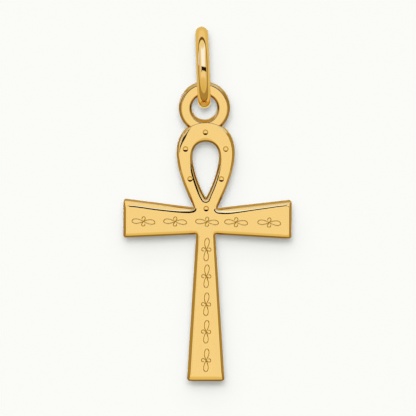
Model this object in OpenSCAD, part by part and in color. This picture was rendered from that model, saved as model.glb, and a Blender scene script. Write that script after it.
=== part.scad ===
// Ankh pendant in polished gold, hanging from a round jump ring.
// +Z is up and the front faces -Y. The origin is the top of the jump ring's opening, where a chain carries it.

/* [Jump ring] */
// Outer diameter of the jump ring
ring_od = 6.22; // [5.9:0.01:8]
// Thickness of the ring's round wire
ring_wire = 0.98; // [0.7:0.01:1.05]
// Lean of the ring about the pendant, in degrees to the left at the top
ring_lean = 2.2; // [0:0.1:8]

/* [Hang loop] */
// Outer diameter of the flat hang loop
hang_od = 3.88; // [3.5:0.01:5]
// Bore of the hang loop, which the ring passes through
hang_bore = 1.92; // [1.7:0.01:2.3]
// Running clearance between the ring's wire and the top of the bore
hang_clearance = 0.035; // [0.02:0.005:0.2]
// How far the hang loop's faces lie below the pendant's own faces
hang_step = 0.06; // [0.02:0.01:0.15]
// Rounding of the hang loop's edges, front and back
hang_edge_r = 0.27; // [0.15:0.01:0.35]
// Metal left between the bore and the top of the pendant's loop
hang_land = 0.14; // [0.05:0.01:0.4]
// How far the hang loop sits to the left of the pendant's middle line
hang_shift = 0.1; // [-0.2:0.01:0.2]

/* [Pendant body] */
// Thickness of the loop, the crossbar and the stem
plate_t = 1; // [0.8:0.05:1.6]
// Rounding of the front edges
edge_r = 0.5; // [0.25:0.01:0.52]
// Radius of the outline's corners, at the ends of the arms and the stem
corner_r = 0.2; // [0.05:0.01:0.35]

/* [Loop] */
// Greatest width of the loop
loop_w = 4.41; // [4.1:0.01:5.5]
// Height of the loop above the crossbar, on the middle line
loop_rise = 6.81; // [6:0.01:9]
// Greatest width of the teardrop opening
eye_w = 2.02; // [1.2:0.01:2.15]
// Metal above the opening, on the middle line
crown_w = 1.48; // [1.2:0.01:1.8]
// Metal between the foot of the opening and the crossbar
throat_h = 0.93; // [0.6:0.01:1.5]

/* [Crossbar] */
// Length of the crossbar over both arms
bar_span = 12.8; // [11:0.05:16]
// Height of the crossbar at its ends
bar_end_h = 2.87; // [2.4:0.01:3.6]
// Height of the crossbar at the middle
bar_root_h = 1.76; // [1.7:0.01:2.3]
// Share of the flare that lies above the middle, against below it
flare_up = 0.7; // [0.3:0.05:0.8]
// How far the crossbar sits to the right of the stem
bar_shift = 0.13; // [-0.2:0.01:0.2]
// Turn of the crossbar from square, in degrees, with the right end low
bar_tilt = 0.42; // [-1:0.01:1]

/* [Stem] */
// Length of the stem below the crossbar
stem_len = 11.34; // [10.8:0.01:15]
// Width of the stem under the crossbar
stem_top_w = 1.45; // [1.35:0.01:2]
// Width of the stem at its foot
stem_foot_w = 2.86; // [2.2:0.01:4]

/* [Dimples] */
// Diameter of the punched dimples round the loop
dimple_d = 0.38; // [0.2:0.01:0.5]
// Depth of the dimples
dimple_depth = 0.06; // [0.02:0.01:0.12]

/* [Engraving] */
// Length of one engraved scroll figure
figure_len = 1.8; // [1.4:0.01:1.95]
// Width of the engraved line
line_w = 0.085; // [0.05:0.005:0.12]
// Depth of the engraved line
line_depth = 0.05; // [0.02:0.005:0.1]
// Number of figures along the crossbar
bar_figures = 5; // [1:2:5]
// Number of figures down the stem
stem_figures = 5; // [1:1:5]
// Distance between the figures' middles along the crossbar
bar_pitch = 2.38; // [2:0.01:2.6]
// Distance between the figures' middles down the stem
stem_pitch = 2.13; // [1.9:0.01:2.15]

/* [Hidden] */
$fn = 96;

gold = [0.86, 0.68, 0.32];
pale_gold = [0.93, 0.76, 0.42];

// Jump ring: its opening's top is the origin, and it hangs down from there
ring_id = ring_od - 2 * ring_wire;
ring_centre = ring_id / 2;
ring_foot = ring_id + ring_wire / 2;

// Pivot: the middle of the wire at the foot of the ring, above the middle of the hang loop
pivot_x = ring_foot * sin(ring_lean);
pivot_z = -ring_foot * cos(ring_lean);

// Heights of the pendant, from the pivot down
hang_drop = (hang_bore - ring_wire) / 2 - hang_clearance;
loop_top = -hang_drop - hang_bore / 2 - hang_land;
bar_top = loop_top - loop_rise;
bar_mid = bar_top - bar_root_h / 2;
stem_top = bar_top - bar_root_h;
stem_foot = stem_top - stem_len;

hang_t = plate_t - 2 * hang_step;
overlap = 0.01;

// Loop: an egg outline whose pointed end runs down into the crossbar
EGG_TAPER = 0.588;
EGG_ROOT = 0.61;
egg_h = loop_rise + EGG_ROOT * bar_root_h;
egg_mid = loop_top - egg_h / 2;
// Opening: a teardrop with its point down, and the two terms that shape its shoulders
EYE_SHOULDER = 0.116;
EYE_ROUND = 0.161;
eye_h = loop_rise - crown_w - throat_h;
eye_mid = loop_top - crown_w - eye_h / 2;

// Widest value of each outline before it is scaled to its named width
function egg_wave(a) = sin(a) * (1 + EGG_TAPER * cos(a));
function eye_wave(a) = sin(a) * cos(a / 2) * (1 + EYE_SHOULDER * cos(a) + EYE_ROUND * pow(cos(a), 2));
egg_peak = max([for (a = [0:180]) egg_wave(a)]);
eye_peak = max([for (a = [0:180]) eye_wave(a)]);

// Points of the two outlines, with the angle running clockwise from the top
function egg_point(a) = [loop_w / 2 * egg_wave(a) / egg_peak, egg_mid + egg_h / 2 * cos(a)];
function eye_point(a) = let (b = a > 180 ? 360 - a : a, side = a > 180 ? -1 : 1)
    [side * eye_w / 2 * eye_wave(b) / eye_peak, eye_mid + eye_h / 2 * cos(b)];

// Band between the outlines: one section at each angle, back edge to rounded front edges
LOOP_STEPS = 72;
EDGE_STEPS = 7;
function section(w) = concat(
    [[0, 0]],
    [for (i = [0:EDGE_STEPS]) let (p = 90 * i / EDGE_STEPS)
        [edge_r * (1 - cos(p)), plate_t - edge_r * (1 - sin(p))]],
    [for (i = [EDGE_STEPS:-1:0]) let (p = 90 * i / EDGE_STEPS)
        [w - edge_r * (1 - cos(p)), plate_t - edge_r * (1 - sin(p))]],
    [[w, 0]]);
function band_ring(a) = let (p = eye_point(a), q = egg_point(a), w = norm(q - p), d = (q - p) / w)
    [for (s = section(w)) [p.x + d.x * s[0], p.y + d.y * s[0], s[1]]];

module band() {
    rings = [for (i = [0:LOOP_STEPS - 1]) band_ring(360 * i / LOOP_STEPS)];
    n = len(rings[0]);
    faces = [for (i = [0:LOOP_STEPS - 1], j = [0:n - 1])
        let (a = i * n, b = (i + 1) % LOOP_STEPS * n, k = (j + 1) % n)
        each [[a + j, a + k, b + k], [a + j, b + k, b + j]]];
    polyhedron([for (r = rings) each r], faces, convexity = 6);
}

// Cutter that rounds the front edge along the line from p to q, with the metal on the right of that line
module edge_cutter(p, q) {
    run = q - p;
    past = 1;
    translate([p.x, p.y, plate_t]) rotate([0, 0, atan2(run.y, run.x)])
        translate([-past, 0, 0]) rotate([90, 0, 90]) linear_extrude(norm(run) + 2 * past)
            difference() {
                translate([-edge_r, -edge_r]) square([edge_r + past, edge_r + past]);
                translate([-edge_r, -edge_r]) circle(edge_r);
            }
}

// Outline with its corners rounded: each corner is [x, y, radius], counter-clockwise.
// The steps are odd in number, so that the edge cutters' mitre crosses a flat and not a line between flats
CORNER_STEPS = 7;
function corner_arc(a, b, c) = let (
        p = [b[0], b[1]],
        u = ([a[0], a[1]] - p) / norm([a[0], a[1]] - p),
        v = ([c[0], c[1]] - p) / norm([c[0], c[1]] - p),
        half = acos(u * v) / 2,
        m = (u + v) / norm(u + v),
        centre = p + m * b[2] / sin(half),
        start = p + u * b[2] / tan(half) - centre,
        turn = 180 - 2 * half)
    b[2] == 0 ? [p] : [for (i = [0:CORNER_STEPS]) let (t = turn * i / CORNER_STEPS)
        centre + [start.x * cos(t) - start.y * sin(t), start.x * sin(t) + start.y * cos(t)]];
function rounded(c) = [for (i = [0:len(c) - 1])
    each corner_arc(c[(i + len(c) - 1) % len(c)], c[i], c[(i + 1) % len(c)])];

// One arm, flared towards its end; side is 1 for the right one and -1 for the left one
reach = bar_span / 2;
flare = bar_end_h - bar_root_h;
arm_root = stem_top_w / 2;
function arm_top(x) = bar_root_h / 2 + flare * flare_up * x / reach;
function arm_foot(x) = -bar_root_h / 2 - flare * (1 - flare_up) * x / reach;

module arm(side) {
    top_in = [-arm_root, arm_top(-arm_root)];
    foot_in = [-arm_root, arm_foot(-arm_root)];
    top_end = [reach, arm_top(reach)];
    foot_end = [reach, arm_foot(reach)];
    mirror([side < 0 ? 1 : 0, 0, 0]) difference() {
        linear_extrude(plate_t) polygon(rounded([
            [foot_in.x, foot_in.y, 0],
            [foot_end.x, foot_end.y, corner_r],
            [top_end.x, top_end.y, corner_r],
            [top_in.x, top_in.y, 0]]));
        edge_cutter(top_in, top_end);
        edge_cutter(top_end, foot_end);
        edge_cutter(foot_end, foot_in);
    }
}

module crossbar() {
    translate([bar_shift, bar_mid, 0]) rotate([0, 0, -bar_tilt]) {
        arm(1);
        arm(-1);
    }
}

// Stem: its top lies inside the crossbar
stem_slope = (stem_foot_w - stem_top_w) / 2 / stem_len;
function stem_half(z) = stem_top_w / 2 + (stem_top - z) * stem_slope;

module stem() {
    right_top = [stem_half(bar_mid), bar_mid];
    right_foot = [stem_half(stem_foot), stem_foot];
    left_top = [-right_top.x, right_top.y];
    left_foot = [-right_foot.x, right_foot.y];
    difference() {
        linear_extrude(plate_t) polygon(rounded([
            [left_top.x, left_top.y, 0],
            [left_foot.x, left_foot.y, corner_r],
            [right_foot.x, right_foot.y, corner_r],
            [right_top.x, right_top.y, 0]]));
        edge_cutter(right_top, right_foot);
        edge_cutter(right_foot, left_foot);
        edge_cutter(left_foot, left_top);
    }
}

// Hang loop: a flat ring with all its edges rounded, set a little back from the faces
module hang_loop() {
    r_in = hang_bore / 2;
    r_out = hang_od / 2;
    translate([-hang_shift, -hang_drop, plate_t / 2]) rotate_extrude() difference() {
        translate([r_in, -hang_t / 2]) square([r_out - r_in, hang_t]);
        for (face = [-1, 1]) {
            edge_notch(r_in, 1, face);
            edge_notch(r_out, -1, face);
        }
    }
}

module edge_notch(x, side, face) {
    translate([x, face * hang_t / 2]) scale([side, face]) difference() {
        translate([-overlap, -hang_edge_r]) square(hang_edge_r + overlap);
        translate([hang_edge_r, -hang_edge_r]) circle(hang_edge_r);
    }
}

// Dimples: the angle of each from the loop's top, midway between its outlines, and one at its foot,
// whose lower rim is level with the crossbar's top
DIMPLE_ANGLES = [0, 56, 100, 260, 304];
dimple_sphere_r = (pow(dimple_d / 2, 2) + pow(dimple_depth, 2)) / (2 * dimple_depth);

module dimple(at) {
    translate([at.x, at.y, plate_t + dimple_sphere_r - dimple_depth]) sphere(dimple_sphere_r, $fn = 48);
}

module dimples() {
    for (a = DIMPLE_ANGLES) dimple((egg_point(a) + eye_point(a)) / 2);
    dimple([0, bar_top + dimple_d / 2]);
}

// Ribbon of the engraved line's width along a path
function path_normal(path, i) = let (
        a = path[max(i - 1, 0)],
        b = path[min(i + 1, len(path) - 1)],
        d = (b - a) / norm(b - a))
    [-d.y, d.x];
module ribbon(path) {
    left = [for (i = [0:len(path) - 1]) path[i] + path_normal(path, i) * line_w / 2];
    right = [for (i = [len(path) - 1:-1:0]) path[i] - path_normal(path, i) * line_w / 2];
    polygon(concat(left, right));
}

// Figure: two slim loops that meet at the middle, and an S with curled ends across them
LOBE_W = 0.235;
LOBE_LEAN = 0.04;
LOBE_STEPS = 10;
LOBE_TURN = 192;
CURL_MID = [0.16, 0.008];
CURL_R = 0.086;
CURL_STEPS = 10;
CURL_SWEEP = 235;
lobe_peak = 4 / (3 * sqrt(3));
function lobe_half(way, side, lean) = [for (i = [0:LOBE_STEPS]) let (
        t = LOBE_TURN * i / LOBE_STEPS,
        along = pow(sin(t / 2), 2))
    figure_len * [side * LOBE_W / 2 * sin(t) * sin(t / 2) / lobe_peak + lean * along, way * along / 2]];
// One curl: a straight run from the middle to its circle, and on round it
curl_reach = norm(CURL_MID);
curl_start = atan2(CURL_MID.y, CURL_MID.x) + 180 - acos(CURL_R / curl_reach);
function curl(way) = [for (i = [-1:CURL_STEPS]) i < 0 ? [0, 0] : let (
        t = curl_start - CURL_SWEEP * i / CURL_STEPS)
    way * figure_len * [-CURL_MID.x - CURL_R * cos(t), CURL_MID.y + CURL_R * sin(t)]];

module figure() {
    for (side = [-1, 1]) {
        ribbon(lobe_half(1, side, LOBE_LEAN));
        ribbon(lobe_half(-1, side, 0));
        ribbon(curl(side));
    }
}

module cut_figure(at, turn) {
    translate([at.x, at.y, plate_t - line_depth]) rotate([0, 0, turn]) linear_extrude(line_depth + 1) figure();
}

// First figure's middle below the crossbar, as a share of the pitch
STEM_FIRST = 0.54;
module engraving() {
    translate([0, bar_mid, 0]) rotate([0, 0, -bar_tilt])
        for (i = [0:bar_figures - 1])
            cut_figure([(i - (bar_figures - 1) / 2) * bar_pitch, 0], -90);
    for (i = [0:stem_figures - 1])
        cut_figure([0, stem_top - (STEM_FIRST + i) * stem_pitch], 0);
}

module jump_ring() {
    color(gold) rotate([0, -ring_lean, 0]) translate([0, 0, -ring_centre]) rotate([0, 90, 0])
        rotate_extrude() translate([(ring_od - ring_wire) / 2, 0]) circle(ring_wire / 2);
}

module ankh() {
    color(pale_gold) translate([pivot_x + hang_shift, plate_t / 2, pivot_z]) rotate([90, 0, 0]) difference() {
        union() {
            band();
            crossbar();
            stem();
            hang_loop();
        }
        dimples();
        engraving();
    }
}

jump_ring();
ankh();
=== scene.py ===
"""Ankh pendant in polished yellow gold on its jump ring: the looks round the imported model.

Shapes are worked out in millimetres. A flat place on the pendant is (u, w): u to the right of the stem's
middle line, w up from the pivot, which is the middle of the ring's wire at its foot. Depth h runs from the
back face (0) to the front face (PLATE_T).
"""
import math

import bpy
import numpy as np
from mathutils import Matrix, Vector
from mathutils.geometry import delaunay_2d_cdt


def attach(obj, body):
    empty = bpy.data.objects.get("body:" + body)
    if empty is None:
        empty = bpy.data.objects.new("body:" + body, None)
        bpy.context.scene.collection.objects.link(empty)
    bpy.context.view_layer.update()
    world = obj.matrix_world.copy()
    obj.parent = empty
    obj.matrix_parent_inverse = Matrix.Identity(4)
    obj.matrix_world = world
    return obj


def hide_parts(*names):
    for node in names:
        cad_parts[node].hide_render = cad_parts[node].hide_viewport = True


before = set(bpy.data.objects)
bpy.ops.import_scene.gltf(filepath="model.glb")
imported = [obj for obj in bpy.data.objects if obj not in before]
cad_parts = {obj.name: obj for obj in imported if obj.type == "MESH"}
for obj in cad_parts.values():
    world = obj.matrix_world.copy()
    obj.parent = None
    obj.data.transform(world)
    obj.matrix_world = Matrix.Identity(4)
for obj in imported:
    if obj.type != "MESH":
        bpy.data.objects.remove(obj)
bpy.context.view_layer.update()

MM = 0.001
rad = math.radians

# Sizes, as in the part's source
RING_OD, RING_WIRE, RING_LEAN = 6.22, 0.98, 2.2
HANG_OD, HANG_BORE, HANG_CLEARANCE = 3.88, 1.92, 0.035
HANG_STEP, HANG_LAND, HANG_SHIFT = 0.06, 0.14, 0.1
PLATE_T, CORNER_R = 1.0, 0.2
LOOP_W, LOOP_RISE, EYE_W, CROWN_W, THROAT_H = 4.41, 6.81, 2.02, 1.48, 0.93
BAR_SPAN, BAR_END_H, BAR_ROOT_H, FLARE_UP = 12.8, 2.87, 1.76, 0.7
BAR_SHIFT, BAR_TILT = 0.13, rad(0.42)
STEM_LEN, STEM_TOP_W, STEM_FOOT_W = 11.34, 1.45, 2.86
EGG_TAPER, EGG_ROOT, EYE_SHOULDER, EYE_ROUND = 0.588, 0.61, 0.116, 0.161

# Places that follow from them
ring_id = RING_OD - 2 * RING_WIRE
ring_foot = ring_id + RING_WIRE / 2
PIVOT = np.array([ring_foot * math.sin(rad(RING_LEAN)), -ring_foot * math.cos(rad(RING_LEAN))])
hang_drop = (HANG_BORE - RING_WIRE) / 2 - HANG_CLEARANCE
loop_top = -hang_drop - HANG_BORE / 2 - HANG_LAND
bar_top = loop_top - LOOP_RISE
bar_mid = bar_top - BAR_ROOT_H / 2
stem_top = bar_top - BAR_ROOT_H
stem_foot = stem_top - STEM_LEN
egg_h = LOOP_RISE + EGG_ROOT * BAR_ROOT_H
egg_mid = loop_top - egg_h / 2
eye_h = LOOP_RISE - CROWN_W - THROAT_H
eye_mid = loop_top - CROWN_W - eye_h / 2


# Meshes
def grid_quads(rows, columns, closed_rows=False, closed_columns=False):
    """Quads of a grid of rows x columns points, numbered row by row."""
    r = np.arange(rows if closed_rows else rows - 1)[:, None]
    c = np.arange(columns if closed_columns else columns - 1)[None, :]
    r2, c2 = (r + 1) % rows, (c + 1) % columns
    corners = (r * columns + c, r * columns + c2, r2 * columns + c2, r2 * columns + c)
    return np.stack(np.broadcast_arrays(*corners), -1).reshape(-1, 4)


WELD_DIGITS = 5      # points that are the same to this many digits become one


def welded(points, faces, *values):
    """One point, with the first one's values, for all that round to the same place; faces lose repeats."""
    rounded = np.round(points, WELD_DIGITS) + 0.0
    _, keep, to = np.unique(rounded, axis=0, return_index=True, return_inverse=True)
    to = to.reshape(-1)
    out = []
    for f in faces:
        g = to[f]
        same = g == np.roll(g, -1, axis=1)
        spare = same.sum(1)
        out.append(g[spare == 0])
        if f.shape[1] == 4:
            one = spare == 1
            g1, s1 = g[one], same[one]
            start = (np.argmax(s1, axis=1) + 1) % 4
            out.append(np.stack([g1[np.arange(len(g1)), (start + i) % 4] for i in range(3)], 1))
    return (points[keep], out) + tuple(v[keep] for v in values)


def make_mesh(name, points, faces, attributes=(), normals=None):
    """A mesh of points in millimetres and a list of face arrays, smooth shaded, with named point values."""
    mesh = bpy.data.meshes.new(name)
    faces = [f for f in faces if len(f)]
    sizes = np.concatenate([np.full(len(f), f.shape[1]) for f in faces])
    corners = np.concatenate([f.reshape(-1) for f in faces])
    mesh.vertices.add(len(points))
    mesh.vertices.foreach_set("co", (points * MM).astype(np.float32).reshape(-1))
    mesh.loops.add(len(corners))
    mesh.loops.foreach_set("vertex_index", corners.astype(np.int32))
    mesh.polygons.add(len(sizes))
    mesh.polygons.foreach_set("loop_start", np.concatenate([[0], np.cumsum(sizes)[:-1]]).astype(np.int32))
    mesh.polygons.foreach_set("use_smooth", np.ones(len(sizes), bool))
    mesh.update(calc_edges=True)
    for key, values in dict(attributes).items():
        mesh.attributes.new(key, "FLOAT", "POINT").data.foreach_set("value", values.astype(np.float32))
    if normals is not None:
        mesh.normals_split_custom_set_from_vertices(normals.tolist())
    piece = bpy.data.objects.new(name, mesh)
    bpy.context.scene.collection.objects.link(piece)
    return piece


def in_space(u, w, h):
    """A flat place and its height above the back face, as x, y, z in the part's frame."""
    return np.stack([PIVOT[0] + HANG_SHIFT + u, PLATE_T / 2 - h, PIVOT[1] + w], -1)


# Outlines of the pendant's body
def cross(a, b):
    return a[..., 0] * b[..., 1] - a[..., 1] * b[..., 0]


def left_of(d):
    """Unit vectors turned a quarter turn to the left."""
    return np.stack([-d[..., 1], d[..., 0]], -1)


def along(points, closed=False):
    """Unit directions of a polyline at its points."""
    d = np.roll(points, -1, axis=0) - np.roll(points, 1, axis=0) if closed else np.gradient(points, axis=0)
    return d / np.maximum(np.linalg.norm(d, axis=1), 1e-12)[:, None]


def resampled(points, count):
    """count points at equal steps of length along a polyline."""
    step = np.concatenate([[0], np.cumsum(np.linalg.norm(np.diff(points, axis=0), axis=1))])
    s = np.linspace(0, step[-1], count)
    return np.stack([np.interp(s, step, points[:, 0]), np.interp(s, step, points[:, 1])], -1)


def egg_wave(a):
    """Half width of the loop's outside before it is scaled: sin a (1 + taper cos a)."""
    return np.sin(a) * (1 + EGG_TAPER * np.cos(a))


def eye_wave(a):
    """Half width of the opening before it is scaled: sin a cos a/2, times a factor for its shoulders."""
    return np.sin(a) * np.cos(a / 2) * (1 + EYE_SHOULDER * np.cos(a) + EYE_ROUND * np.cos(a) ** 2)


turn = np.linspace(0, np.pi, 2001)
egg_peak, eye_peak = egg_wave(turn).max(), eye_wave(turn).max()


def egg(a):
    """Outside of the loop, a running clockwise from its top: across by the egg's wave, and up by cos a."""
    return np.stack([LOOP_W / 2 * egg_wave(a) / egg_peak, egg_mid + egg_h / 2 * np.cos(a)], -1)


def eye(a):
    """Opening of the loop, a running clockwise from its top: across by its wave on each side, up by cos a."""
    b = np.where(a > np.pi, 2 * np.pi - a, a)
    side = np.where(a > np.pi, -1.0, 1.0)
    return np.stack([side * EYE_W / 2 * eye_wave(b) / eye_peak, eye_mid + eye_h / 2 * np.cos(b)], -1)


def on_bar(x, y):
    """A place of the crossbar's own frame, with its shift and tilt."""
    c, s = math.cos(BAR_TILT), math.sin(BAR_TILT)
    return np.array([BAR_SHIFT + x * c + y * s, bar_mid - x * s + y * c])


reach, flare = BAR_SPAN / 2, BAR_END_H - BAR_ROOT_H


def meet(p, d, q, e):
    """Where the line through p along d meets the line through q along e."""
    return p + d * cross(q - p, e) / cross(d, e)


def inset_line(p, q, depth):
    """A line from p to q, moved to its right by depth."""
    d = (q - p) / np.linalg.norm(q - p)
    return p - left_of(d) * depth, d


def corner_arc(p, d_in, d_out, radius, count):
    """Points of the arc of that radius that rounds the corner at p, from direction d_in to d_out."""
    swing = math.atan2(cross(d_in, d_out), float(d_in @ d_out))
    cut = radius * math.tan(abs(swing) / 2)
    side = math.copysign(1, swing)
    centre = p - d_in * cut + left_of(d_in) * side * radius
    t = np.linspace(0, swing, count)
    spoke = -left_of(d_in) * side * radius
    c, s = np.cos(t), np.sin(t)
    return centre + np.stack([spoke[0] * c - spoke[1] * s, spoke[0] * s + spoke[1] * c], -1), cut


def trimmed(run, cut):
    """A polyline without its last stretch of that length."""
    length = np.concatenate([[0], np.cumsum(np.linalg.norm(np.diff(run, axis=0), axis=1))])
    end = length[-1] - cut
    last = [np.interp(end, length, run[:, 0]), np.interp(end, length, run[:, 1])]
    return np.vstack([run[length < end], last])


ARC_POINTS = 13
NECK_R, CROTCH_R = 0.1, 0.09
CORNER_EASE = 0.1    # how much an outward corner's radius shrinks with depth
CREST = 0.045        # the polished arms stand this much over the straight line at their tops
EGG_LAST, EGG_FINE, EGG_RUN = 2.9, 1500, 8   # its last angle, its fine points, and those for a direction
EDGE_POINTS = {"egg": 150, "top": 72, "end": 30, "foot_side": 64, "stem": 120, "foot": 34}


def outer_path(depth, corner=CORNER_R):
    """The body's outside, clockwise from the loop's top, moved inwards by depth.

    The egg's two sides are moved along their normals and cut where they meet the arms' top lines. The
    straight edges are moved as lines. An outward corner keeps a small radius at every depth, and an inward
    corner's radius grows by the depth. Every depth gives as many points, so the paths make a grid.
    """
    right = egg(np.linspace(0, EGG_LAST, EGG_FINE))
    right = right - left_of(along(right)) * depth
    left = right * [-1, 1]
    top_r = (on_bar(0, BAR_ROOT_H / 2 + CREST), on_bar(reach, BAR_ROOT_H / 2 + flare * FLARE_UP + CREST))
    top_l = (on_bar(-reach, BAR_ROOT_H / 2 + flare * FLARE_UP + CREST), on_bar(0, BAR_ROOT_H / 2 + CREST))
    foot_r = (on_bar(reach, -BAR_ROOT_H / 2 - flare * (1 - FLARE_UP)), on_bar(0, -BAR_ROOT_H / 2))
    foot_l = (on_bar(0, -BAR_ROOT_H / 2), on_bar(-reach, -BAR_ROOT_H / 2 - flare * (1 - FLARE_UP)))
    slope = (STEM_FOOT_W - STEM_TOP_W) / 2 / STEM_LEN
    half = lambda w: STEM_TOP_W / 2 + (stem_top - w) * slope
    stem_r = (np.array([half(bar_mid), bar_mid]), np.array([half(stem_foot), stem_foot]))
    stem_l = (np.array([-half(stem_foot), stem_foot]), np.array([-half(bar_mid), bar_mid]))
    lines = [top_r, (top_r[1], foot_r[0]), foot_r, stem_r, (stem_r[1], stem_l[0]), stem_l, foot_l,
             (foot_l[1], top_l[0]), top_l]
    lines = [inset_line(p, q, depth) for p, q in lines]
    outward = corner - depth * CORNER_EASE
    radii = [outward, outward, CROTCH_R + depth, outward, outward, CROTCH_R + depth, outward, outward]
    names = ["top", "end", "foot_side", "stem", "foot", "stem", "foot_side", "end", "top"]

    def egg_to_line(side, p, d):
        """The egg's side down to its corner with a line: its points, the corner, and its direction there."""
        over = cross(d, side - p)
        i = int(np.argmax(over * over[0] <= 0)) if (over * over[0] <= 0).any() else len(side) - 1
        t = over[i - 1] / (over[i - 1] - over[i])
        place = side[i - 1] + (side[i] - side[i - 1]) * t
        run = np.vstack([side[:i], place])
        way = run[-1] - run[-EGG_RUN]
        return run, place, way / np.linalg.norm(way)

    neck = NECK_R + depth
    run_r, place_r, way_r = egg_to_line(right, *lines[0])
    run_l, place_l, way_l = egg_to_line(left, *lines[-1])
    arc_r, cut_r = corner_arc(place_r, way_r, lines[0][1], neck, ARC_POINTS)
    arc_l, cut_l = corner_arc(place_l, lines[-1][1], -way_l, neck, ARC_POINTS)

    count = EDGE_POINTS["egg"]
    parts = [resampled(trimmed(run_r, cut_r), count)[:-1], arc_r]
    here = arc_r[-1]
    for i, (p, d) in enumerate(lines):
        n = EDGE_POINTS[names[i]]
        if i < len(lines) - 1:
            q, e = lines[i + 1]
            arc, _ = corner_arc(meet(p, d, q, e), d, e, radii[i], ARC_POINTS)
        else:
            arc = arc_l
        ease = (1 - np.cos(np.linspace(0, np.pi, n))) / 2
        ease = 0.5 * ease + 0.5 * np.linspace(0, 1, n)
        parts += [here + (arc[0] - here) * ease[1:-1, None], arc]
        here = arc[-1]
    parts.append(resampled(trimmed(run_l, cut_l), count)[::-1][1:-1])
    return np.vstack(parts)


EYE_POINTS, TIP_POINTS = 230, 25
EYE_FINE, TIP_RUN = 1200, 30     # fine points of the opening's side, and those for its direction at the tip
TIP_R = 0.05


def eye_path(depth):
    """The opening's edge, anticlockwise from its top, moved into the metal by depth, with a round tip."""
    run = eye(2 * np.pi - np.linspace(0, np.pi, EYE_FINE))
    way = along(run)
    way[0] = [-1, 0]
    tip_way = run[-1] - run[-TIP_RUN]
    tip_way = tip_way / np.linalg.norm(tip_way)
    way[-TIP_RUN:] = tip_way
    run = run - left_of(way) * depth
    place = run[-1] - tip_way * run[-1, 0] / tip_way[0]
    arc, cut = corner_arc(place, tip_way, tip_way * [1, -1], TIP_R + depth, TIP_POINTS)
    left = resampled(trimmed(np.vstack([run, place]), cut), EYE_POINTS // 2)
    return np.vstack([left[:-1], arc, (left * [-1, 1])[::-1][1:-1]])


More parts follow.
